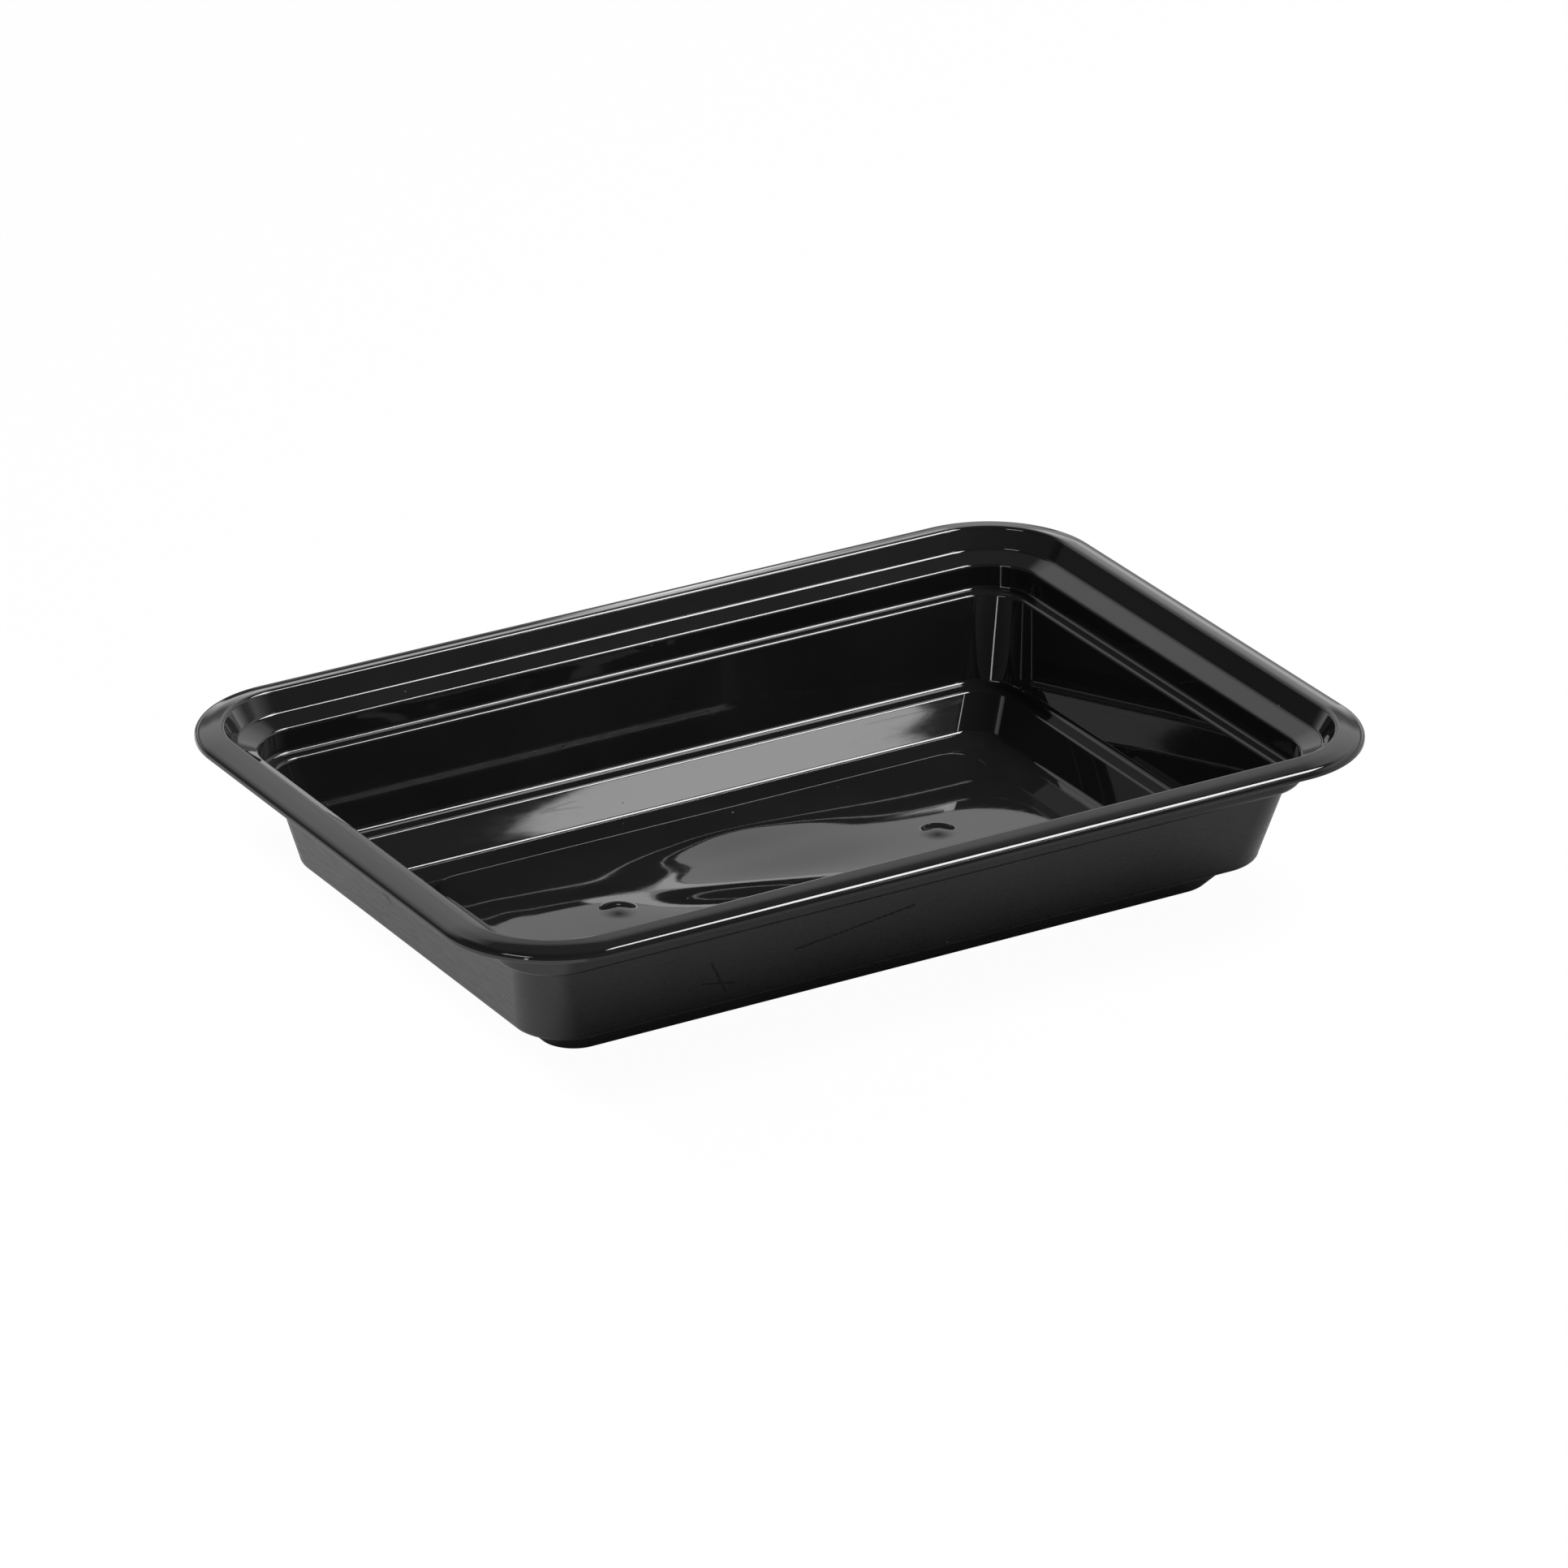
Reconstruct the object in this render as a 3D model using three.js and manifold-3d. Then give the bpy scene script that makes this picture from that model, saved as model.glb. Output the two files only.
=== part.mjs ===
// A rectangular take-away food container base in black injection-moulded plastic, open at the top.
// Millimetres, +Z up, +X along the long side. The origin is on the table, under the middle.
//
// The whole base is one thin wall. Its upper face is drawn once as a stepped section, from the
// bottom of the rim's skirt, over the rim, down the steps inside and in to the floor. The lower face
// is the same section moved away by the wall's thickness. Both are swept round the tray as rounded
// rectangles and closed by the floor. The base stands on a flat ring round a raised floor panel.

import * as THREE from "three";
import { mergeVertices } from "three/addons/utils/BufferGeometryUtils.js";
import Module from "manifold-3d";

// Driving dimensions
const LENGTH = 222.0;             // over the rim, along X
const WIDTH = 154.6;              // over the rim, along Y
const HEIGHT = 38.8;              // from the table to the top of the rim
const WALL = 0.7;                 // thickness everywhere
const RIM_PLAN_RADIUS = 25.9;     // the rim's corners, seen from above

// The rim: a short vertical skirt, a shoulder, and a land that rises inwards to the lip
const SKIRT_BOTTOM = 35.9;
const SHOULDER_RADIUS = 1.7;
const LAND_TILT = THREE.MathUtils.degToRad(12);
const LIP_INSET = 6.15;           // where the first wall starts down
const LIP_RADIUS = 1.1;

// Inside steps, each at its distance in from the rim's outer edge
const LID_WALL_FOOT = 8.9;
const LID_WALL_FOOT_Z = 34.2;
const LID_LEDGE_EDGE = 13.75;
const LID_LEDGE_EDGE_Z = 32.6;    // the sloping ledge that a lid's plug sits on
const STEP_WALL_FOOT = 13.85;
const STEP_LEDGE_EDGE = 16.8;
const STEP_LEDGE_Z = 27.1;        // the narrow ledge below it
const MAIN_WALL_FOOT = 20.75;
const LOW_LEDGE_EDGE = 24.8;
const LOW_LEDGE_Z = 8.0;          // the ledge above the foot
const FOOT_INSET = 30.1;
const LEDGE_FALL = 0.2;           // the lower ledges drop this much towards the middle

// The floor: a flat channel inside the foot, which is the ring that the base stands on, then a
// steep rise to the panel
const RISE_FOOT = 39.8;
const PANEL_EDGE = 43.2;
const PANEL_Z = 3.9;

// Plan radii of the corners where they stop following the rim's
const STEP_EDGE_PLAN_RADIUS = 9.5;
const MAIN_FOOT_PLAN_RADIUS = 11.5;
const LOW_EDGE_PLAN_RADIUS = 7.0;
const FOOT_PLAN_RADIUS = 7.0;
const RISE_PLAN_RADIUS = 8.5;
const PANEL_PLAN_RADIUS = 7.0;

// Fillets along the steps
const WIDE_FILLET = 1.3;
const FILLET = 0.9;
const SHARPEST = 0.2;             // no fillet on the lower face is smaller

// Gate wells: the two shallow domes in the panel where the plastic was let in
const GATE_X = 40.0;
const GATE_RADIUS = 4.6;
const GATE_HEIGHT = 0.55;
const GATE_NUB_RADIUS = 0.9;
const GATE_NUB_DEPTH = 0.15;      // the nub under the dome stops this far inside the underside

// Fineness of the mesh
const PLAN_STEPS = 10;            // per corner
const ARC_STEPS = 3;              // per fillet
const ROUND_STEPS = 24;           // round a gate well
const DOME_STEPS = 6;
const OVERLAP = 0.3;              // how far a joined or cut piece reaches past the face it crosses

const halfLength = LENGTH / 2;
const halfWidth = WIDTH / 2;

// A corner of the section before it is rounded: its distance in from the rim's outer edge, its
// height, its fillet, and the radius of the tray's corners at that depth.
function sectionCorner(inset, z, fillet, planRadius = RIM_PLAN_RADIUS - inset) {
  return { at: new THREE.Vector2(inset, z), fillet, planRadius };
}

// The land's line, drawn on to the leaning first wall, meets it above the lip's rounded top.
function lipPeak() {
  const lean = Math.atan2(LID_WALL_FOOT - LIP_INSET, HEIGHT - LID_WALL_FOOT_Z);
  const roundOff = (Math.cos(LAND_TILT) + Math.sin(lean)) / (1 + Math.sin(lean - LAND_TILT)) - 1;
  return HEIGHT + LIP_RADIUS * roundOff;
}

function upperSection() {
  const peak = lipPeak();
  const landEdge = peak - LIP_INSET * Math.tan(LAND_TILT);
  return [
    sectionCorner(0, SKIRT_BOTTOM, 0),
    sectionCorner(0, landEdge, SHOULDER_RADIUS),
    sectionCorner(LIP_INSET, peak, LIP_RADIUS),
    sectionCorner(LID_WALL_FOOT, LID_WALL_FOOT_Z, WIDE_FILLET),
    sectionCorner(LID_LEDGE_EDGE, LID_LEDGE_EDGE_Z, FILLET),
    sectionCorner(STEP_WALL_FOOT, STEP_LEDGE_Z, FILLET),
    sectionCorner(STEP_LEDGE_EDGE, STEP_LEDGE_Z - LEDGE_FALL, FILLET, STEP_EDGE_PLAN_RADIUS),
    sectionCorner(MAIN_WALL_FOOT, LOW_LEDGE_Z, WIDE_FILLET, MAIN_FOOT_PLAN_RADIUS),
    sectionCorner(LOW_LEDGE_EDGE, LOW_LEDGE_Z - LEDGE_FALL, FILLET, LOW_EDGE_PLAN_RADIUS),
    sectionCorner(FOOT_INSET, WALL, WIDE_FILLET, FOOT_PLAN_RADIUS),
    sectionCorner(RISE_FOOT, WALL, FILLET, RISE_PLAN_RADIUS),
    sectionCorner(PANEL_EDGE, PANEL_Z, WIDE_FILLET, PANEL_PLAN_RADIUS),
    sectionCorner(PANEL_EDGE + PANEL_PLAN_RADIUS / 2, PANEL_Z, 0, PANEL_PLAN_RADIUS / 2),
  ];
}

// The direction from one corner to the next, and its right-hand side, which is the plastic's side
function heading(from, to) {
  return to.at.clone().sub(from.at).normalize();
}

function plasticSide(direction) {
  return new THREE.Vector2(direction.y, -direction.x);
}

// The same section moved by the wall's thickness to its plastic side. A fillet that bulges away
// from the plastic shrinks by the thickness, and one that is hollow grows by it.
function lowerSection(upper) {
  return upper.map((corner, i) => {
    const before = heading(upper[Math.max(i - 1, 0)], upper[Math.max(i, 1)]);
    const after = heading(upper[Math.min(i, upper.length - 2)], upper[Math.min(i + 1, upper.length - 1)]);
    const sideBefore = plasticSide(before);
    const sideAfter = plasticSide(after);
    const miter = sideBefore.clone().add(sideAfter).divideScalar(1 + sideBefore.dot(sideAfter));
    const at = corner.at.clone().addScaledVector(miter, WALL);
    const bulges = before.cross(after) < 0;
    const grown = corner.fillet + (bulges ? -WALL : WALL);
    const fillet = corner.fillet === 0 ? 0 : Math.max(grown, SHARPEST);
    return { at, fillet, planRadius: corner.planRadius + corner.at.x - at.x };
  });
}

// One station of the sweep, part of the way from one corner of the section to another
function between(a, b, share) {
  return {
    inset: THREE.MathUtils.lerp(a.at.x, b.at.x, share),
    z: THREE.MathUtils.lerp(a.at.y, b.at.y, share),
    planRadius: THREE.MathUtils.lerp(a.planRadius, b.planRadius, share),
  };
}

// The stations of one fillet, from its first tangent point to its last
function filletStations(previous, corner, next) {
  const before = heading(previous, corner);
  const after = heading(corner, next);
  const turn = Math.acos(THREE.MathUtils.clamp(before.dot(after), -1, 1));
  const reach = corner.fillet * Math.tan(turn / 2);
  const start = between(corner, previous, reach / corner.at.distanceTo(previous.at));
  const end = between(corner, next, reach / corner.at.distanceTo(next.at));
  const hand = Math.sign(before.cross(after));
  const toCentre = new THREE.Vector2(-before.y, before.x).multiplyScalar(hand * corner.fillet);
  const centre = new THREE.Vector2(start.inset, start.z).add(toCentre);
  const stations = [];
  for (let i = 0; i <= ARC_STEPS; i += 1) {
    const share = i / ARC_STEPS;
    const spoke = toCentre.clone().negate().rotateAround(new THREE.Vector2(), hand * turn * share);
    const point = centre.clone().add(spoke);
    const planRadius = THREE.MathUtils.lerp(start.planRadius, end.planRadius, share);
    stations.push({ inset: point.x, z: point.y, planRadius });
  }
  return stations;
}

function roundedStations(section) {
  return section.flatMap((corner, i) => {
    if (corner.fillet === 0) {
      return [between(corner, corner, 0)];
    }
    return filletStations(section[i - 1], corner, section[i + 1]);
  });
}

// A rounded rectangle at one station, anticlockwise from above, with the same number of points at
// every station so that neighbours join point to point
function loopAt({ inset, z, planRadius }) {
  const points = [];
  for (let corner = 0; corner < 4; corner += 1) {
    const signX = corner === 0 || corner === 3 ? 1 : -1;
    const signY = corner < 2 ? 1 : -1;
    const centreX = signX * (halfLength - inset - planRadius);
    const centreY = signY * (halfWidth - inset - planRadius);
    for (let i = 0; i <= PLAN_STEPS; i += 1) {
      const angle = (corner + i / PLAN_STEPS) * Math.PI / 2;
      const x = centreX + planRadius * Math.cos(angle);
      const y = centreY + planRadius * Math.sin(angle);
      points.push(new THREE.Vector3(x, y, z));
    }
  }
  return points;
}

// A closed skin through the stations, with a flat fan across the first loop and the last
function sweep(stations) {
  const loops = stations.map(loopAt);
  const count = loops[0].length;
  const positions = loops.flat().flatMap((point) => point.toArray());
  const index = [];
  for (let row = 0; row + 1 < loops.length; row += 1) {
    for (let i = 0; i < count; i += 1) {
      const here = row * count + i;
      const beside = row * count + (i + 1) % count;
      index.push(here, beside, here + count);
      index.push(beside, beside + count, here + count);
    }
  }
  const firstCentre = positions.length / 3;
  positions.push(0, 0, stations[0].z, 0, 0, stations.at(-1).z);
  const lastRow = (loops.length - 1) * count;
  for (let i = 0; i < count; i += 1) {
    const next = (i + 1) % count;
    index.push(next, i, firstCentre);
    index.push(lastRow + i, lastRow + next, firstCentre + 1);
  }
  const geometry = new THREE.BufferGeometry();
  geometry.setAttribute("position", new THREE.Float32BufferAttribute(positions, 3));
  geometry.setIndex(index);
  return geometry;
}

function containerShell() {
  const upper = upperSection();
  const outside = roundedStations(lowerSection(upper)).reverse();
  const inside = roundedStations(upper);
  return sweep([...outside, ...inside]);
}

// A gate well's bell shape as a lathe outline, from its edge up to the axis or to a hole round it
function bellOutline(baseZ, holeRadius = 0) {
  const points = [];
  for (let i = 0; i <= DOME_STEPS; i += 1) {
    const r = THREE.MathUtils.lerp(GATE_RADIUS, holeRadius, i / DOME_STEPS);
    const rise = GATE_HEIGHT * Math.cos(Math.PI * r / GATE_RADIUS / 2) ** 2;
    points.push(new THREE.Vector2(r, baseZ + rise));
  }
  return points;
}

// Lathes turn about Y, so the finished piece is stood up along Z.
function standingLathe(outline, x) {
  const geometry = new THREE.LatheGeometry(outline, ROUND_STEPS);
  geometry.rotateX(Math.PI / 2);
  geometry.translate(x, 0, 0);
  return geometry;
}

// The dome that shows on the panel's upper face
function gateDome(x) {
  const buried = new THREE.Vector2(0, PANEL_Z - OVERLAP);
  const buriedEdge = new THREE.Vector2(GATE_RADIUS, PANEL_Z - OVERLAP);
  return standingLathe([buried, buriedEdge, ...bellOutline(PANEL_Z)], x);
}

// The hollow under the dome, with the sprue's nub left standing in the middle of it
function gateHollow(x) {
  const underside = PANEL_Z - WALL;
  const outline = [
    new THREE.Vector2(0, underside - OVERLAP),
    new THREE.Vector2(GATE_RADIUS, underside - OVERLAP),
    ...bellOutline(underside, GATE_NUB_RADIUS),
    new THREE.Vector2(GATE_NUB_RADIUS, underside + GATE_NUB_DEPTH),
    new THREE.Vector2(0, underside + GATE_NUB_DEPTH),
  ];
  return standingLathe(outline, x);
}

const wasm = await Module();
wasm.setup();

function toSolid(geometry) {
  const bare = geometry.clone();
  bare.deleteAttribute("normal");
  bare.deleteAttribute("uv");
  const merged = mergeVertices(bare, 1e-5);
  return new wasm.Manifold(new wasm.Mesh({
    numProp: 3,
    vertProperties: merged.attributes.position.array,
    triVerts: Uint32Array.from(merged.index.array),
  }));
}

function toGeometry(solid) {
  const mesh = solid.getMesh();
  const geometry = new THREE.BufferGeometry();
  geometry.setAttribute("position", new THREE.Float32BufferAttribute(mesh.vertProperties, 3));
  geometry.setIndex(Array.from(mesh.triVerts));
  geometry.computeVertexNormals();
  return geometry;
}

function containerGeometry() {
  let solid = toSolid(containerShell());
  for (const x of [-GATE_X, GATE_X]) {
    solid = solid.add(toSolid(gateDome(x))).subtract(toSolid(gateHollow(x)));
  }
  return toGeometry(solid);
}

const glossyBlackPlastic = new THREE.MeshStandardMaterial({
  color: 0x0d0d0e,
  roughness: 0.16,
  metalness: 0,
});

const container = new THREE.Mesh(containerGeometry(), glossyBlackPlastic);
container.name = "container_base";

const group = new THREE.Group();
group.add(container);

export default group;
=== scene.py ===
"""Looks of an empty black plastic food container base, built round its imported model.

The container is one thin moulding. Its wall is drawn once as a stepped section, from the underside of
the foot, out under the rim, over it and down the steps inside, and is swept round the tray as rounded
rectangles. Two skins close it as the floor. Everything is in metres in the model's own frame, with +X
along the long side, +Z up and the origin on the table under the middle.
"""

from __future__ import annotations

import logging
import math
from dataclasses import dataclass
from enum import Enum

import bpy
import numpy as np
from bpy.types import Material, Mesh, Node, NodeSocket, NodeTree, Object
from mathutils import Matrix, Vector
from mathutils.geometry import delaunay_2d_cdt


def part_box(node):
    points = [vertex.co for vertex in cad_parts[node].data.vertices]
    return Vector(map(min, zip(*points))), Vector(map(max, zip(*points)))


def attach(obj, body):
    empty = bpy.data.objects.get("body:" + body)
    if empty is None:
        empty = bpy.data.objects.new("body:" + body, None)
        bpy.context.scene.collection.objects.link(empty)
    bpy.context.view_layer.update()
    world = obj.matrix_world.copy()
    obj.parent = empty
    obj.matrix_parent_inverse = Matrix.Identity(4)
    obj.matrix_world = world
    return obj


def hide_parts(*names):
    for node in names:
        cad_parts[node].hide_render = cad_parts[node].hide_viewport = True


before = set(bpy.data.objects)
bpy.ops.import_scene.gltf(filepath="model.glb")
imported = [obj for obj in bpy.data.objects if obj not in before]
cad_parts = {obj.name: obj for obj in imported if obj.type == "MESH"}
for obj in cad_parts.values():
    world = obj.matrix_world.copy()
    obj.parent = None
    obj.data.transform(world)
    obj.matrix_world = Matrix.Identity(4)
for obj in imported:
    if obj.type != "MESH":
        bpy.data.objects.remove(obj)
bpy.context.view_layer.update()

LOG = logging.getLogger("container")
NODE = "container_base"
BODY = "root"
MM = 0.001

# The rim's top stays this far under the top of the solid.
TOP_CLEARANCE = 0.02 * MM

Point = tuple[float, float]
Span = tuple[float, float]
Place = tuple[float, float, float]
Colour = tuple[float, float, float]
Face = tuple[int, ...]


class Side(Enum):
    """Which face of the moulding a patch of skin belongs to, and the index of its material."""

    INSIDE = 0
    OUTSIDE = 1


@dataclass(frozen=True)
class SectionCorner:
    """A corner of the wall's section before it is rounded."""

    inset: float
    z: float
    fillet: float
    plan_radius: float

    def towards(self, other: SectionCorner) -> Point:
        """The unit direction to another corner, in the plane of the section."""
        length = self.distance(other)
        return (other.inset - self.inset) / length, (other.z - self.z) / length

    def distance(self, other: SectionCorner) -> float:
        """The distance to another corner, in the plane of the section."""
        return math.hypot(other.inset - self.inset, other.z - self.z)


@dataclass(frozen=True)
class Station:
    """One loop of the sweep: its distance in from the rim's edge, its height and its corner radius."""

    inset: float
    z: float
    plan_radius: float
    side: Side

    def blend(self, other: Station, share: float) -> Station:
        """A station part of the way to the next one.

        Args:
            other: The next station.
            share: How far along, from 0 to 1.

        Returns:
            The station between them, on this one's side of the moulding.
        """
        return Station(
            self.inset + (other.inset - self.inset) * share,
            self.z + (other.z - self.z) * share,
            self.plan_radius + (other.plan_radius - self.plan_radius) * share,
            self.side,
        )


@dataclass(frozen=True)
class WallSection:
    """The stepped section of the wall, measured in from the rim's outer edge and up from the table.

    From the skirt, the rim's land rises inwards over a soft crown to the lip. From there the section goes
    down: a wall that leans inwards, the sloping lid ledge, a short wall and a narrow ledge, the main wall,
    the low ledge and the foot. The floor starts as a flat ring and then rises to its panel.
    """

    height: float
    wall: float = 0.7 * MM
    rim_plan_radius: float = 25.9 * MM
    skirt_bottom: float = 35.9 * MM
    skirt_edge_fillet: float = 0.25 * MM
    shoulder_radius: float = 1.7 * MM
    land_tilt: float = math.radians(12)
    crown_inset: float = 3.4 * MM
    crown_rise: float = 0.12 * MM
    crown_fillet: float = 22.0 * MM
    lip_inset: float = 6.15 * MM
    lip_radius: float = 1.1 * MM
    lid_wall_foot: float = 8.9 * MM
    lid_wall_foot_z: float = 34.2 * MM
    lid_ledge_edge: float = 13.75 * MM
    lid_ledge_edge_z: float = 32.6 * MM
    step_wall_foot: float = 13.85 * MM
    step_ledge_edge: float = 16.8 * MM
    step_ledge_z: float = 27.1 * MM
    main_wall_foot: float = 20.75 * MM
    low_ledge_edge: float = 24.8 * MM
    low_ledge_z: float = 8.0 * MM
    foot_inset: float = 30.1 * MM
    rise_foot: float = 39.8 * MM
    panel_edge: float = 43.2 * MM
    panel_z: float = 3.9 * MM
    panel_margin: float = 1.8 * MM
    ledge_fall: float = 0.2 * MM
    step_edge_plan_radius: float = 9.5 * MM
    main_foot_plan_radius: float = 11.5 * MM
    low_edge_plan_radius: float = 7.0 * MM
    foot_plan_radius: float = 7.0 * MM
    rise_plan_radius: float = 8.5 * MM
    panel_plan_radius: float = 7.0 * MM
    wide_fillet: float = 1.3 * MM
    fillet: float = 0.9 * MM
    sharpest: float = 0.2 * MM
    arc_steps: int = 8
    longest_flat: float = 3.5 * MM

    def _following_rim(self, inset: float, z: float, fillet: float) -> SectionCorner:
        """A corner whose plan radius is the rim's, less its distance in."""
        return SectionCorner(inset, z, fillet, self.rim_plan_radius - inset)

    def _lip_peak(self) -> float:
        """Where the land's line, drawn on to the first wall, meets it above the lip's round top.

        Returns:
            The height of the meeting point.
        """
        inner_slope = math.tan(self.land_tilt) - self.crown_rise / (self.lip_inset - self.crown_inset)
        tilt = math.atan(inner_slope)
        lean = math.atan2(self.lid_wall_foot - self.lip_inset, self.height - self.lid_wall_foot_z)
        round_off = (math.cos(tilt) + math.sin(lean)) / (1 + math.sin(lean - tilt)) - 1
        return self.height + self.lip_radius * round_off

    def upper(self) -> list[SectionCorner]:
        """The corners of the upper face, from the bottom of the skirt over the rim to the floor.

        Returns:
            The corners in order.
        """
        peak = self._lip_peak()
        land_edge = peak - self.lip_inset * math.tan(self.land_tilt)
        crown_z = land_edge + self.crown_inset * math.tan(self.land_tilt) + self.crown_rise
        step_edge_z = self.step_ledge_z - self.ledge_fall
        low_edge_z = self.low_ledge_z - self.ledge_fall
        skin_edge = self.panel_edge + self.panel_margin
        skin_radius = self.panel_plan_radius - self.panel_margin
        return [
            self._following_rim(0.0, self.skirt_bottom, self.skirt_edge_fillet),
            self._following_rim(0.0, land_edge, self.shoulder_radius),
            self._following_rim(self.crown_inset, crown_z, self.crown_fillet),
            self._following_rim(self.lip_inset, peak, self.lip_radius),
            self._following_rim(self.lid_wall_foot, self.lid_wall_foot_z, self.wide_fillet),
            self._following_rim(self.lid_ledge_edge, self.lid_ledge_edge_z, self.fillet),
            self._following_rim(self.step_wall_foot, self.step_ledge_z, self.fillet),
            SectionCorner(self.step_ledge_edge, step_edge_z, self.fillet, self.step_edge_plan_radius),
            SectionCorner(
                self.main_wall_foot, self.low_ledge_z, self.wide_fillet, self.main_foot_plan_radius
            ),
            SectionCorner(self.low_ledge_edge, low_edge_z, self.fillet, self.low_edge_plan_radius),
            SectionCorner(self.foot_inset, self.wall, self.wide_fillet, self.foot_plan_radius),
            SectionCorner(self.rise_foot, self.wall, self.fillet, self.rise_plan_radius),
            SectionCorner(self.panel_edge, self.panel_z, self.wide_fillet, self.panel_plan_radius),
            SectionCorner(skin_edge, self.panel_z, 0.0, skin_radius),
        ]

    def lower(self) -> list[SectionCorner]:
        """The corners of the lower face: the upper ones moved by the wall's thickness.

        Returns:
            The corners in the same order as the upper ones.
        """
        upper = self.upper()
        moved = []
        for i, corner in enumerate(upper):
            before = upper[max(i - 1, 0)].towards(upper[max(i, 1)])
            after = upper[min(i, len(upper) - 2)].towards(upper[min(i + 1, len(upper) - 1)])
            side_before = (before[1], -before[0])
            side_after = (after[1], -after[0])
            spread = 1 + side_before[0] * side_after[0] + side_before[1] * side_after[1]
            inset = corner.inset + self.wall * (side_before[0] + side_after[0]) / spread
            z = corner.z + self.wall * (side_before[1] + side_after[1]) / spread
            bulges = before[0] * after[1] - before[1] * after[0] < 0
            grown = max(corner.fillet + (-self.wall if bulges else self.wall), self.sharpest)
            fillet = self.skirt_edge_fillet if i == 0 else grown if corner.fillet else 0.0
            moved.append(SectionCorner(inset, z, fillet, corner.plan_radius + corner.inset - inset))
        return moved

    def stations(self) -> list[Station]:
        """Every loop of the sweep, from the underside of the floor to its upper face.

        Returns:
            The stations in order.
        """
        outside = [(corner, Side.OUTSIDE) for corner in reversed(self.lower())]
        inside = [(corner, Side.INSIDE) for corner in self.upper()]
        path = outside + inside
        rounded = [self._plain(*path[0])]
        for i in range(1, len(path) - 1):
            rounded += self._fillet(path[i - 1][0], path[i][0], path[i + 1][0], path[i][1])
        rounded.append(self._plain(*path[-1]))
        return self._with_flats_divided(rounded)

    @staticmethod
    def _plain(corner: SectionCorner, side: Side) -> Station:
        """The station of an unrounded corner."""
        return Station(corner.inset, corner.z, corner.plan_radius, side)

    def _fillet(
        self, previous: SectionCorner, corner: SectionCorner, following: SectionCorner, side: Side
    ) -> list[Station]:
        """The stations of one fillet, from its first tangent point to its last.

        Args:
            previous: The corner before.
            corner: The corner to round.
            following: The corner after.
            side: The face of the moulding that the fillet is on.

        Returns:
            The stations along the arc, or the corner's own if it isn't rounded.
        """
        if corner.fillet == 0.0:
            return [self._plain(corner, side)]
        before = previous.towards(corner)
        after = corner.towards(following)
        turn = math.acos(max(-1.0, min(1.0, before[0] * after[0] + before[1] * after[1])))
        reach = corner.fillet * math.tan(turn / 2)
        centre_station = self._plain(corner, side)
        start = centre_station.blend(self._plain(previous, side), reach / corner.distance(previous))
        end = centre_station.blend(self._plain(following, side), reach / corner.distance(following))
        hand = math.copysign(1.0, before[0] * after[1] - before[1] * after[0])
        spoke = (-before[1] * hand * corner.fillet, before[0] * hand * corner.fillet)
        centre = (start.inset + spoke[0], start.z + spoke[1])
        stations = []
        for i in range(self.arc_steps + 1):
            share = i / self.arc_steps
            angle = hand * turn * share
            inset = centre[0] - spoke[0] * math.cos(angle) + spoke[1] * math.sin(angle)
            z = centre[1] - spoke[0] * math.sin(angle) - spoke[1] * math.cos(angle)
            plan_radius = start.blend(end, share).plan_radius
            stations.append(Station(inset, z, plan_radius, side))
        return stations

    def _with_flats_divided(self, stations: list[Station]) -> list[Station]:
        """The same stations, with more between those that stand far apart.

        Args:
            stations: The stations along the section.

        Returns:
            The longer list, with no gap over the longest flat.
        """
        divided = []
        for here, after in zip(stations, stations[1:]):
            length = math.hypot(after.inset - here.inset, after.z - here.z)
            parts = max(1, math.ceil(length / self.longest_flat))
            divided += [here.blend(after, i / parts) for i in range(parts)]
        return divided + [stations[-1]]


@dataclass(frozen=True)
class TrayPlan:
    """The rounded rectangle that every station follows, seen from above."""

    half_length: float
    half_width: float
    arc_steps: int = 36
    straight_step: float = 4.2 * MM

    def template(self) -> np.ndarray:
        """Four factors for each point of a loop: the arc centre's signs, then the spoke's direction.

        Returns:
            An array of rows (sign x, sign y, spoke x, spoke y), anticlockwise from above.
        """
        rows = []
        signs = [(1, 1), (-1, 1), (-1, -1), (1, -1)]
        for corner, (sign_x, sign_y) in enumerate(signs):
            for i in range(self.arc_steps + 1):
                angle = (corner + i / self.arc_steps) * math.pi / 2
                rows.append((sign_x, sign_y, math.cos(angle), math.sin(angle)))
            side = self.half_length if corner % 2 == 0 else self.half_width
            parts = max(1, round(2 * side / self.straight_step))
            last = np.array(rows[-1])
            following = np.array((*signs[(corner + 1) % 4], *last[2:]))
            rows += [tuple(last + (following - last) * i / parts) for i in range(1, parts)]
        return np.array(rows, float)

    def loop(self, inset: float, z: float, plan_radius: float) -> np.ndarray:
        """The points of the loop at one station.

        Args:
            inset: Distance in from the rim's outer edge.
            z: Height.
            plan_radius: Radius of the corners.

        Returns:
            An array of points, one row each.
        """
        rows = self.template()
        x = rows[:, 0] * (self.half_length - inset - plan_radius) + plan_radius * rows[:, 2]
        y = rows[:, 1] * (self.half_width - inset - plan_radius) + plan_radius * rows[:, 3]
        return np.column_stack((x, y, np.full(len(rows), z)))


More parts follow.
